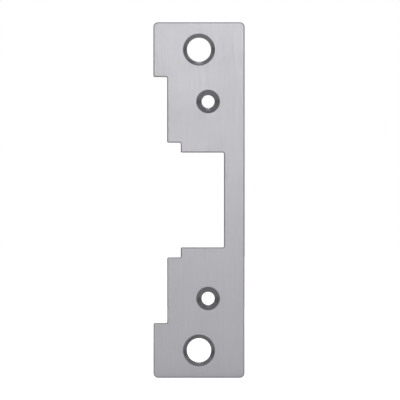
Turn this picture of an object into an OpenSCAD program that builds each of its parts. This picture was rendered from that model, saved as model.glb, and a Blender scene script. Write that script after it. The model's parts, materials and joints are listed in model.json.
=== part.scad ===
// Faceplate of an electric strike, upright as it sits in a door frame.
// +Z is up, the face looks towards -Y and the stepped latch side is at -X.
// The origin is midway between the two frame screws, on the back face.

/* [Plate] */
// Length of the plate, which stands upright
plate_l = 123.825; // [100:0.5:170]
// Width of the plate
plate_w = 31.75; // [26:0.25:45]
// Thickness of the sheet that the plate is blanked from
plate_t = 2.38; // [1.8:0.02:5]
// Radius of the four outer corners
corner_r = 1.6; // [0.4:0.1:4]

/* [Latch side] */
// Height of the full-width tab at each end
tab_h = 19.05; // [14:0.25:26]
// Depth that the latch side is set back between the two tabs
relief_d = 4.8; // [2:0.1:8]
// Depth of the further step around the latch opening
step_d = 4.75; // [2:0.05:8]
// Height of the ledge between that step and the latch opening, above and below it
ledge_h = 3.45; // [2:0.05:8]
// Height of the latch opening
slot_h = 33.05; // [24:0.05:50]
// Width of the straight strip behind the latch opening
web_w = 7.15; // [4:0.05:14]
// Radius of the small inner and outer corners of the steps
step_r = 0.45; // [0.2:0.05:0.9]

/* [Frame screws] */
// Distance from each end of the plate to the frame screw nearest to it
frame_screw_end = 9.525; // [7.5:0.025:12]
// Diameter of the frame screws' holes
frame_hole_d = 8.4; // [6:0.1:9.5]
// Diameter of the frame screws' countersinks on the face
frame_head_d = 11.1; // [9.5:0.1:13.5]

/* [Body screws] */
// Distance from the ledge of each tab to the body screw nearest to it
body_screw_tab = 8.55; // [6:0.05:15]
// Distance from the straight edge to the body screws
body_screw_edge = 12.7; // [9:0.1:16]
// Diameter of the body screws' holes
body_hole_d = 4.5; // [4:0.1:6.5]
// Diameter of the body screws' countersinks on the face
body_head_d = 8.2; // [7:0.1:9.5]

/* [Countersinks] */
// Angle across the cone of a flat screw head
csk_angle = 82; // [60:1:120]

/* [Hidden] */
$fn = 96;
// How far a cutting shape runs past what it cuts
over = 1;
latch_edge = -plate_w / 2;
straight_edge = plate_w / 2;
relief_h = plate_l - 2 * tab_h;
step_h = slot_h + 2 * ledge_h;
frame_screw_pitch = plate_l - 2 * frame_screw_end;
body_screw_pitch = relief_h - 2 * body_screw_tab;

// The cuts in the latch side, each with the depths at its mouth and its back, and its height
cuts = [
    [0, relief_d, relief_h],
    [relief_d, relief_d + step_d, step_h],
    [relief_d + step_d, plate_w - web_w, slot_h],
];

// Sets its children at [x, z], turned to run towards the signs of dx and dz
module at_corner(x, z, dx, dz) {
    translate([x, z]) mirror([dx < 0 ? 1 : 0, 0]) mirror([0, dz < 0 ? 1 : 0]) children();
}

// What rounding takes from a square corner at the origin
module corner_waste(r) {
    difference() {
        square(r);
        translate([r, r]) circle(r);
    }
}

// The opening that one cut leaves, with its two inner corners round
module cut_opening(back, height) {
    difference() {
        translate([latch_edge - over, -height / 2]) square([back + over, height]);
        for (side = [-1, 1])
            at_corner(latch_edge + back, side * height / 2, -1, -side) corner_waste(step_r);
    }
}

// The plate's outline, seen from the face
module outline() {
    difference() {
        square([plate_w, plate_l], center = true);
        for (end = [-1, 1]) {
            at_corner(latch_edge, end * plate_l / 2, 1, -end) corner_waste(corner_r);
            at_corner(straight_edge, end * plate_l / 2, -1, -end) corner_waste(corner_r);
        }
        for (cut = cuts) {
            cut_opening(cut[1], cut[2]);
            for (side = [-1, 1])
                at_corner(latch_edge + cut[0], side * cut[2] / 2, 1, side) corner_waste(step_r);
        }
    }
}

// Two countersunk holes at pitch apart, one above the other, through the extruded outline
module screw_pair(x, pitch, hole_d, head_d) {
    cone_slope = tan(csk_angle / 2);
    cone_h = (head_d - hole_d) / 2 / cone_slope;
    for (side = [-1, 1]) translate([x, side * pitch / 2, 0]) {
        translate([0, 0, -over]) cylinder(d = hole_d, h = plate_t + 2 * over);
        translate([0, 0, plate_t - cone_h])
            cylinder(d1 = hole_d, d2 = head_d + 2 * over * cone_slope, h = cone_h + over);
    }
}

// The plate: one flat blank, stepped on the latch side, with a pair of holes at each kind of screw
module faceplate() {
    color([0.72, 0.72, 0.74]) rotate([90, 0, 0]) difference() {
        linear_extrude(plate_t) outline();
        screw_pair(0, frame_screw_pitch, frame_hole_d, frame_head_d);
        screw_pair(straight_edge - body_screw_edge, body_screw_pitch, body_hole_d, body_head_d);
    }
}

faceplate();
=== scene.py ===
import json
import math

import bmesh
import bpy
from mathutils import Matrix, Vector


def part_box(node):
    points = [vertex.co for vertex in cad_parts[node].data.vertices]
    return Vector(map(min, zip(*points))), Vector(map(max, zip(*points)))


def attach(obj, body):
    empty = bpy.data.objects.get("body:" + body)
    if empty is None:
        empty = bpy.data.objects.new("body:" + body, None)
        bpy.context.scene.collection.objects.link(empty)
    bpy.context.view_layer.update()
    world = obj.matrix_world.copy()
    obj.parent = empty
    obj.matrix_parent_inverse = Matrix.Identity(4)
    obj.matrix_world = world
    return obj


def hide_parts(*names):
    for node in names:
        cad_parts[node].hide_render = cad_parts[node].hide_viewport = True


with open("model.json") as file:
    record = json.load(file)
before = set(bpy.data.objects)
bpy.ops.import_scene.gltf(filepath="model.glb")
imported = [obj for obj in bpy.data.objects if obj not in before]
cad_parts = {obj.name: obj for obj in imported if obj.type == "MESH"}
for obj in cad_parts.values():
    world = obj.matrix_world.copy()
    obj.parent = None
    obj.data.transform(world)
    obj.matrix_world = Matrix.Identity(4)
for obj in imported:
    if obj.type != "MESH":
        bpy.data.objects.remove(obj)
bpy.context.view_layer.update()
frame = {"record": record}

scene = bpy.context.scene
plate_low, plate_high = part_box("faceplate")


# Camera. It looks straight at the face from well back, level with the middle of the plate, so that
# hardly anything shows of the holes' walls.
view_distance = 1.4
view_width = 0.1393
view_right = 0.00035

camera_data = bpy.data.cameras.new("camera")
camera_data.lens = camera_data.sensor_width * view_distance / view_width
camera_data.clip_start = 0.01
camera_data.clip_end = 20
camera = bpy.data.objects.new("camera", camera_data)
camera.location = (view_right, plate_low.y - view_distance, 0)
camera.rotation_euler = (math.radians(90), 0, 0)
scene.collection.objects.link(camera)
scene.camera = camera


# Faceplate blank. One piece of satin stainless sheet, stamped to a stepped outline and deburred,
# which leaves its face edges softly round. It stands between the door frame and the latch bolt.
tab_h = 0.01905
relief_d = 0.0048
step_d = 0.00475
ledge_h = 0.00345
slot_h = 0.03305
web_w = 0.00715
outer_corner_r = 0.0016
step_corner_r = 0.00045
corner_segments = 8
face_ease = 0.00042
back_ease = 0.00012
ease_segments = 5
same_place = 1e-7
edge_lean = 0.1

left, right, top = plate_low.x, plate_high.x, plate_high.z
face_y, back_y = plate_low.y, plate_high.y
thickness = back_y - face_y
relief_x = left + relief_d
step_x = relief_x + step_d
slot_back_x = right - web_w
relief_z = top - tab_h
slot_z = slot_h / 2
step_z = slot_z + ledge_h

# The corners of the upper half, from the straight edge round to the latch opening
upper_corners = [
    (right, top, outer_corner_r),
    (left, top, outer_corner_r),
    (left, relief_z, step_corner_r),
    (relief_x, relief_z, step_corner_r),
    (relief_x, step_z, step_corner_r),
    (step_x, step_z, step_corner_r),
    (step_x, slot_z, step_corner_r),
    (slot_back_x, slot_z, step_corner_r),
]
lower_corners = [(x, -z, radius) for x, z, radius in reversed(upper_corners)]

blank = bmesh.new()
corners = [(blank.verts.new((x, back_y, z)), radius) for x, z, radius in upper_corners + lower_corners]
blank.faces.new([vert for vert, radius in corners])
for corner_r in (outer_corner_r, step_corner_r):
    bmesh.ops.bevel(
        blank,
        geom=[vert for vert, radius in corners if radius == corner_r],
        offset=corner_r,
        segments=corner_segments,
        profile=0.5,
        affect="VERTICES",
        material=-1,
    )
raised = bmesh.ops.extrude_face_region(blank, geom=blank.faces[:])["geom"]
raised_verts = [v for v in raised if isinstance(v, bmesh.types.BMVert)]
bmesh.ops.translate(blank, vec=(0, -thickness, 0), verts=raised_verts)
for rim_y, ease in ((face_y, face_ease), (back_y, back_ease)):
    bmesh.ops.bevel(
        blank,
        geom=[e for e in blank.edges if all(abs(v.co.y - rim_y) < same_place for v in e.verts)],
        offset=ease,
        segments=ease_segments,
        profile=0.5,
        affect="EDGES",
        material=-1,
    )
bmesh.ops.recalc_face_normals(blank, faces=blank.faces)

# The plate's four finishes. A surface that hardly looks forwards or back is the cut edge.
FACE, BACK, EDGE, COUNTERSINK = range(4)
for part in blank.faces:
    part.smooth = True
    along_edge = abs(part.normal.y) < edge_lean
    part.material_index = EDGE if along_edge else FACE if part.normal.y < 0 else BACK

plate_mesh = bpy.data.meshes.new("faceplate_blank")
blank.to_mesh(plate_mesh)
blank.free()
plate = bpy.data.objects.new("faceplate_blank", plate_mesh)
scene.collection.objects.link(plate)


# Screw holes. Two large ones on the centre line hold the plate to the frame, and two small ones
# hold the strike's body to the plate. Each is drilled through and countersunk for a flat head,
# and the belt leaves its rim softly round. The frame gives their places and bores.
head_radii = {"frame_screws": 0.00555, "body_screws": 0.0041}
head_angle = math.radians(82)
rim_radius = 0.0002
rim_segments = 4
back_break = 0.0001
overrun = 0.001
hole_segments = 128
belted_lean = 0.7

cutter = bmesh.new()
for mount in frame["record"]["mounts"]:
    if mount["kind"] != "bolt_pattern":
        continue
    head_r = head_radii[mount["name"]]
    bore_r = mount["dims"]["hole_r_mm"] / 1000
    pitch = mount["dims"]["spacing_y_mm"] / 1000
    slope = math.tan(head_angle / 2)
    # The rim turns from the face into the cone on an arc, which starts a little outside the head
    rim_turn = math.pi / 2 - head_angle / 2
    rim_start = head_r + rim_radius * math.tan(rim_turn / 2)
    rim_turns = [rim_turn * step / rim_segments for step in range(rim_segments + 1)]
    rim = [(rim_start - rim_radius * math.sin(a), rim_radius * (1 - math.cos(a))) for a in rim_turns]
    # Radius and depth below the face, down the cutter from its shank to its tip
    profile = [
        (0, -overrun),
        (rim_start, -overrun),
        *rim,
        (bore_r, (head_r - bore_r) / slope),
        (bore_r, thickness - back_break),
        (bore_r + back_break + overrun, thickness + overrun),
        (0, thickness + overrun),
    ]
    for side in (-1, 1):
        centre = Vector((mount["pos_m"][0], face_y, side * pitch / 2))
        points = [cutter.verts.new(centre + Vector((radius, depth, 0))) for radius, depth in profile]
        lines = [cutter.edges.new(pair) for pair in zip(points, points[1:])]
        bmesh.ops.spin(
            cutter,
            geom=points + lines,
            cent=centre,
            axis=(0, 1, 0),
            angle=math.tau,
            steps=hole_segments,
            use_merge=True,
        )
bmesh.ops.remove_doubles(cutter, verts=cutter.verts, dist=same_place)
bmesh.ops.recalc_face_normals(cutter, faces=cutter.faces)
# The start of each rim still looks forwards, and is belted with the face
for part in cutter.faces:
    part.smooth = True
    part.material_index = FACE if abs(part.normal.y) > belted_lean else COUNTERSINK

cutter_mesh = bpy.data.meshes.new("cutter")
cutter.to_mesh(cutter_mesh)
cutter.free()
cutter_object = bpy.data.objects.new("cutter", cutter_mesh)
scene.collection.objects.link(cutter_object)


# Satin stainless, all over the plate. Handling has left hairline scratches and faint smudges on it,
# over the marks of the tools that made each surface.
steel_colour = (0.67, 0.661, 0.698, 1)
scratch_angles = (4, -11, 38, -63)
scratch_fade = 0.05
scratch_roughness = 0.12
smudge_start = 0.42
smudge_full = 0.68
smudge_roughness = 0.02
smudge_shade = 0.985
wave_size = (0.0012, 0.01, 0.0012)


def new_group(name, inputs, output):
    """An empty shader node group with the named inputs and one output, and its two end nodes."""
    group = bpy.data.node_groups.new(name, "ShaderNodeTree")
    for socket_name, kind, value in inputs:
        socket = group.interface.new_socket(socket_name, in_out="INPUT", socket_type=kind)
        socket.default_value = value
    group.interface.new_socket(output, in_out="OUTPUT", socket_type="NodeSocketFloat")
    return group, group.nodes.new("NodeGroupInput"), group.nodes.new("NodeGroupOutput")


def put_group(tree, group, values):
    """Puts a node group into a node tree with values of its own, and gives the node back."""
    node = tree.nodes.new("ShaderNodeGroup")
    node.node_tree = group
    for socket_name, value in values.items():
        node.inputs[socket_name].default_value = value
    return node


def tool_marks_group():
    """Marks left by a belt, a roll or a cutter: noise with grains of a given size along X, Y and Z."""
    group, given, result = new_group(
        "Tool marks",
        [
            ("Grain size", "NodeSocketVector", (0.0001, 0.0001, 0.0001)),
            ("Turn", "NodeSocketFloat", 0.0),
            ("Detail", "NodeSocketFloat", 2.0),
        ],
        "Marks",
    )
    nodes, links = group.nodes, group.links
    place = nodes.new("ShaderNodeTexCoord")
    turn = nodes.new("ShaderNodeVectorRotate")
    turn.rotation_type = "Y_AXIS"
    divide = nodes.new("ShaderNodeVectorMath")
    divide.operation = "DIVIDE"
    noise = nodes.new("ShaderNodeTexNoise")
    noise.inputs["Scale"].default_value = 1
    links.new(place.outputs["Object"], turn.inputs["Vector"])
    links.new(given.outputs["Turn"], turn.inputs["Angle"])
    links.new(turn.outputs["Vector"], divide.inputs[0])
    links.new(given.outputs["Grain size"], divide.inputs[1])
    links.new(divide.outputs["Vector"], noise.inputs["Vector"])
    links.new(given.outputs["Detail"], noise.inputs["Detail"])
    links.new(noise.outputs["Fac"], result.inputs["Marks"])
    return group


def scratches_group(tool_marks):
    """Sparse hairlines, 1 on a scratch and 0 beside it, at a few angles to the plate's length."""
    group, given, result = new_group(
        "Hairline scratches",
        [
            ("Length", "NodeSocketFloat", 0.02),
            ("Width", "NodeSocketFloat", 0.0002),
            ("Rarity", "NodeSocketFloat", 0.7),
        ],
        "Scratches",
    )
    nodes, links = group.nodes, group.links
    size = nodes.new("ShaderNodeCombineXYZ")
    links.new(given.outputs["Width"], size.inputs["X"])
    links.new(given.outputs["Length"], size.inputs["Y"])
    links.new(given.outputs["Length"], size.inputs["Z"])
    crest_top = nodes.new("ShaderNodeMath")
    crest_top.inputs[1].default_value = scratch_fade
    links.new(given.outputs["Rarity"], crest_top.inputs[0])
    scratched = nodes.new("ShaderNodeValue").outputs["Value"]
    for degrees in scratch_angles:
        marks = put_group(group, tool_marks, {"Turn": math.radians(degrees), "Detail": 0})
        crest = nodes.new("ShaderNodeMapRange")
        either = nodes.new("ShaderNodeMath")
        either.operation = "MAXIMUM"
        links.new(size.outputs["Vector"], marks.inputs["Grain size"])
        links.new(marks.outputs["Marks"], crest.inputs["Value"])
        links.new(given.outputs["Rarity"], crest.inputs["From Min"])
        links.new(crest_top.outputs["Value"], crest.inputs["From Max"])
        links.new(scratched, either.inputs[0])
        links.new(crest.outputs["Result"], either.inputs[1])
        scratched = either.outputs["Value"]
    links.new(scratched, result.inputs["Scratches"])
    return group


def smudges_group():
    """Soft patches of handling, 0 where the steel is clean and 1 where it is dullest."""
    group, given, result = new_group("Smudges", [("Patch size", "NodeSocketFloat", 0.014)], "Smudges")
    nodes, links = group.nodes, group.links
    place = nodes.new("ShaderNodeTexCoord")
    divide = nodes.new("ShaderNodeVectorMath")
    divide.operation = "DIVIDE"
    noise = nodes.new("ShaderNodeTexNoise")
    noise.inputs["Scale"].default_value = 1
    noise.inputs["Detail"].default_value = 3
    noise.inputs["Distortion"].default_value = 0.8
    patch = nodes.new("ShaderNodeMapRange")
    patch.interpolation_type = "SMOOTHSTEP"
    patch.inputs["From Min"].default_value = smudge_start
    patch.inputs["From Max"].default_value = smudge_full
    links.new(place.outputs["Object"], divide.inputs[0])
    links.new(given.outputs["Patch size"], divide.inputs[1])
    links.new(divide.outputs["Vector"], noise.inputs["Vector"])
    links.new(noise.outputs["Fac"], patch.inputs["Value"])
    links.new(patch.outputs["Result"], result.inputs["Smudges"])
    return group


tool_marks = tool_marks_group()
scratches = scratches_group(tool_marks)
smudges = smudges_group()


def new_steel(name, colour, roughness):
    """A bare steel on the plate and its cutter, for layer and darken to finish."""
    material = bpy.data.materials.new(name)
    material.use_nodes = True
    shader = material.node_tree.nodes["Principled BSDF"]
    shader.inputs["Metallic"].default_value = 1
    shader.inputs["Base Color"].default_value = colour
    shader.inputs["Roughness"].default_value = roughness
    plate_mesh.materials.append(material)
    cutter_mesh.materials.append(material)
    return material


def layer(material, mask, share, height=0):
    """Adds the mask's share to the material's roughness, and its height in metres to the surface."""
    nodes, links = material.node_tree.nodes, material.node_tree.links
    roughness = nodes["Principled BSDF"].inputs["Roughness"]
    add = nodes.new("ShaderNodeMath")
    add.operation = "MULTIPLY_ADD"
    links.new(mask, add.inputs[0])
    add.inputs[1].default_value = share
    add.inputs[2].default_value = roughness.default_value
    for link in roughness.links:
        links.new(link.from_socket, add.inputs[2])
    links.new(add.outputs["Value"], roughness)
    if height:
        normal = nodes["Principled BSDF"].inputs["Normal"]
        bump = nodes.new("ShaderNodeBump")
        bump.invert = height < 0
        bump.inputs["Distance"].default_value = abs(height)
        links.new(mask, bump.inputs["Height"])
        for link in normal.links:
            links.new(link.from_socket, bump.inputs["Normal"])
        links.new(bump.outputs["Normal"], normal)


def darken(material, mask, share):
    """Leaves only the given share of the material's colour where the mask is 1."""
    nodes, links = material.node_tree.nodes, material.node_tree.links
    base = nodes["Principled BSDF"].inputs["Base Color"]
    mix = nodes.new("ShaderNodeMix")
    mix.data_type = "RGBA"
    mix.blend_type = "MULTIPLY"
    mix.inputs["A"].default_value = base.default_value
    mix.inputs["B"].default_value = (share, share, share, 1)
    for link in base.links:
        links.new(link.from_socket, mix.inputs["A"])
    links.new(mask, mix.inputs["Factor"])
    links.new(mix.outputs["Result"], base)


def add_marks(material, grain_size, share, height=0, detail=2, groove_shade_share=1):
    """Layers a tool's marks over a material, with painted shade in their depths, which keep only the
    given share of its colour.
    """
    marks = put_group(material.node_tree, tool_marks, {"Grain size": grain_size, "Detail": detail})
    layer(material, marks.outputs["Marks"], share, height)
    if groove_shade_share < 1:
        darken(material, marks.outputs["Marks"], groove_shade_share)


def add_handling(material, length, width, rarity, depth):
    """Layers scratches of the given depth over a material, and smudges."""
    hairlines = {"Length": length, "Width": width, "Rarity": rarity}
    worn = put_group(material.node_tree, scratches, hairlines)
    layer(material, worn.outputs["Scratches"], scratch_roughness, -depth)
    handled = put_group(material.node_tree, smudges, {})
    layer(material, handled.outputs["Smudges"], smudge_roughness)
    darken(material, handled.outputs["Smudges"], smudge_shade)


def below_face(material, start, end, waver=0):
    """A mask that rises from 0 to 1 between two depths below the face, which waver by up to waver."""
    nodes, links = material.node_tree.nodes, material.node_tree.links
    place = nodes.new("ShaderNodeTexCoord")
    split = nodes.new("ShaderNodeSeparateXYZ")
    wave = put_group(material.node_tree, tool_marks, {"Grain size": wave_size})
    moved = nodes.new("ShaderNodeMath")
    moved.operation = "MULTIPLY_ADD"
    moved.inputs[1].default_value = waver
    rise = nodes.new("ShaderNodeMapRange")
    rise.inputs["From Min"].default_value = face_y + start
    rise.inputs["From Max"].default_value = face_y + end
    links.new(place.outputs["Object"], split.inputs["Vector"])
    links.new(wave.outputs["Marks"], moved.inputs[0])
    links.new(split.outputs["Y"], moved.inputs[2])
    links.new(moved.outputs["Value"], rise.inputs["Value"])
    return rise.outputs["Result"]


# The face: fine belt lines with broader streaks between them. The belt doesn't reach round its soft
# edges, which stay rougher and carry a painted shade, a dark line all round the face.
face = new_steel("Belted steel face", steel_colour, 0.17)
# The fine belt lines carry painted shade in their depths.
add_marks(face, (0.00012, 0.00012, 0.012), share=0.2, height=-0.000008, groove_shade_share=0.85)
add_marks(face, (0.0006, 0.0006, 0.06), share=0.16)
# Painted shade: the soft edges' colour is darkened to about half, drawing a dark line round the face.
rough_shaded_soft_edge = below_face(face, start=0.000003, end=0.00002)
layer(face, rough_shaded_soft_edge, share=0.1)
darken(face, rough_shaded_soft_edge, share=0.52)
add_handling(face, length=0.02, width=0.0001, rarity=0.74, depth=0.000003)

# The back: dull and finely pitted from the rolling mill, with faint roll lines
back = new_steel("Rolled steel back", steel_colour, 0.28)
add_marks(back, (0.00015, 0.00015, 0.0002), share=0.1, height=0.000004, detail=4)
add_marks(back, (0.0006, 0.0006, 0.04), share=0.18)
add_handling(back, length=0.03, width=0.00015, rarity=0.68, depth=0.000005)

# The edges: a smooth band where the press cut, then a torn band where the sheet broke away
edge = new_steel("Sheared steel edge", steel_colour, 0.24)
add_marks(edge, (0.00006, 0.004, 0.00006), share=0.08, height=0.000003)
torn = below_face(edge, start=0.00125, end=0.00135, waver=0.0005)
layer(edge, torn, share=0.24)
darken(edge, torn, share=0.74)
add_marks(edge, (0.00016, 0.0002, 0.00016), share=0.04, height=0.000005, detail=4)

# The countersinks: rings from the cutter, on steel painted darker than the face, a painted shade for
# the hollow of each hole
countersink_painted_shade_colour = (0.378, 0.373, 0.394, 1)
countersink = new_steel("Turned steel countersink", countersink_painted_shade_colour, 0.24)
# The cutter's rings carry painted shade in their depths.
add_marks(countersink, (0.01, 0.00008, 0.01), share=0.14, height=-0.000006, groove_shade_share=0.8)

# The holes are cut out of the blank only now, so that each surface keeps its own finish
crease_angle = math.radians(32)
drill = plate.modifiers.new("screw holes", "BOOLEAN")
drill.operation = "DIFFERENCE"
drill.solver = "EXACT"
drill.object = cutter_object
drilled = bpy.data.meshes.new_from_object(plate.evaluated_get(bpy.context.evaluated_depsgraph_get()))
plate.modifiers.remove(drill)
plate.data = drilled
bpy.data.objects.remove(cutter_object)
drilled.set_sharp_from_angle(angle=crease_angle)
flatten = plate.modifiers.new("flat face shading", "WEIGHTED_NORMAL")
flatten.keep_sharp = True
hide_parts("faceplate")
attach(plate, "root")


# Floor. Plain pale card that runs far beyond the view. The plate stands on it, on its lower edge.
# To the camera it fades to clean white away from the plate, so that no horizon shows.
floor_size = 6.0
card_colour = (0.8, 0.8, 0.8, 1)
lift_near = 0.72
lift_far = 1.0
fade_start = 0.15
fade_end = 0.6

floor_builder = bmesh.new()
bmesh.ops.create_grid(floor_builder, x_segments=1, y_segments=1, size=floor_size / 2)
bmesh.ops.translate(floor_builder, vec=(0, 0, plate_low.z), verts=floor_builder.verts)
floor_mesh = bpy.data.meshes.new("floor")
floor_builder.to_mesh(floor_mesh)
floor_builder.free()
floor = bpy.data.objects.new("floor", floor_mesh)
scene.collection.objects.link(floor)

card = bpy.data.materials.new("Pale card")
card.use_nodes = True
nodes, links = card.node_tree.nodes, card.node_tree.links
shader = nodes["Principled BSDF"]
shader.inputs["Base Color"].default_value = card_colour
shader.inputs["Roughness"].default_value = 0.9
shader.inputs["Specular IOR Level"].default_value = 0.1
shader.inputs["Emission Color"].default_value = (1, 1, 1, 1)
place = nodes.new("ShaderNodeTexCoord")
distance = nodes.new("ShaderNodeVectorMath")
distance.operation = "LENGTH"
fade = nodes.new("ShaderNodeMapRange")
fade.inputs["From Min"].default_value = fade_start
fade.inputs["From Max"].default_value = fade_end
fade.inputs["To Min"].default_value = lift_near
fade.inputs["To Max"].default_value = lift_far
seen_by = nodes.new("ShaderNodeLightPath")
lift = nodes.new("ShaderNodeMath")
lift.operation = "MULTIPLY"
links.new(place.outputs["Object"], distance.inputs[0])
links.new(distance.outputs["Value"], fade.inputs["Value"])
links.new(fade.outputs["Result"], lift.inputs[0])
links.new(seen_by.outputs["Is Camera Ray"], lift.inputs[1])
links.new(lift.outputs["Value"], shader.inputs["Emission Strength"])
floor_mesh.materials.append(card)


# Light. Soft panels show in the steel: a stack in front, brightest at its foot, one at each side,
# one behind and one overhead. A lamp lights only the floor. The camera looks through them all. A dim
# studio lies all round, brighter overhead, but the camera sees it white.
def soft_panel(name, place, aim, width, height, radiance):
    """A rectangular area light at place, facing aim, as bright as radiance all over."""
    light = bpy.data.lights.new(name, "AREA")
    light.shape = "RECTANGLE"
    light.size = width
    light.size_y = height
    light.energy = radiance * math.pi * width * height
    lamp = bpy.data.objects.new(name, light)
    lamp.location = place
    lamp.rotation_euler = (Vector(aim) - Vector(place)).to_track_quat("-Z", "Y").to_euler()
    lamp.visible_camera = False
    scene.collection.objects.link(lamp)
    return lamp


# Height of the middle of each front panel, its own height and its radiance
front_stack = [(0.06, 0.08, 1.65), (0.2, 0.2, 0.95), (0.45, 0.3, 0.7)]
for middle, height, radiance in front_stack:
    soft_panel("front panel", (0, -0.6, middle), (0, 0, middle), 0.7, height, radiance)

soft_panel("right panel", (0.9, 0, 0.45), (0, 0, 0.1), width=0.8, height=0.5, radiance=0.5)
soft_panel("left panel", (-0.9, 0, 0.45), (0, 0, 0.1), width=0.8, height=0.5, radiance=0.45)
soft_panel("back panel", (0, 0.9, 0.15), (0, 0, 0.15), width=0.4, height=0.5, radiance=0.8)
top_panel = soft_panel("top panel", (0, 0.14, 1), (0, 0, 0), width=0.4, height=0.3, radiance=2)
top_panel.visible_diffuse = False
under_lamp = (0, 0, plate_low.z)
floor_lamp = soft_panel("floor lamp", (0, 0, 0.55), under_lamp, width=0.6, height=0.6, radiance=1.2)
floor_lamp.visible_glossy = False

# The studio all round: how bright it is at the walls and overhead, and the heights between which it
# brightens, from 0 at the horizon to 1 straight up
wall_light = 0.06
ceiling_light = 0.5
ceiling_start = 0.45
ceiling_full = 0.55
studio = bpy.data.worlds.new("studio")
studio.use_nodes = True
scene.world = studio
nodes, links = studio.node_tree.nodes, studio.node_tree.links
ambient = nodes["Background"]
ambient.inputs["Color"].default_value = (1, 1, 1, 1)
way = nodes.new("ShaderNodeTexCoord")
way_parts = nodes.new("ShaderNodeSeparateXYZ")
overhead_light = nodes.new("ShaderNodeMapRange")
overhead_light.inputs["From Min"].default_value = ceiling_start
overhead_light.inputs["From Max"].default_value = ceiling_full
overhead_light.inputs["To Min"].default_value = wall_light
overhead_light.inputs["To Max"].default_value = ceiling_light
links.new(way.outputs["Generated"], way_parts.inputs["Vector"])
links.new(way_parts.outputs["Z"], overhead_light.inputs["Value"])
links.new(overhead_light.outputs["Result"], ambient.inputs["Strength"])
backdrop = nodes.new("ShaderNodeBackground")
backdrop.inputs["Color"].default_value = (1, 1, 1, 1)
seen_by = nodes.new("ShaderNodeLightPath")
choose = nodes.new("ShaderNodeMixShader")
links.new(seen_by.outputs["Is Camera Ray"], choose.inputs["Fac"])
links.new(ambient.outputs["Background"], choose.inputs[1])
links.new(backdrop.outputs["Background"], choose.inputs[2])
links.new(choose.outputs["Shader"], nodes["World Output"].inputs["Surface"])

scene.view_settings.view_transform = "Standard"
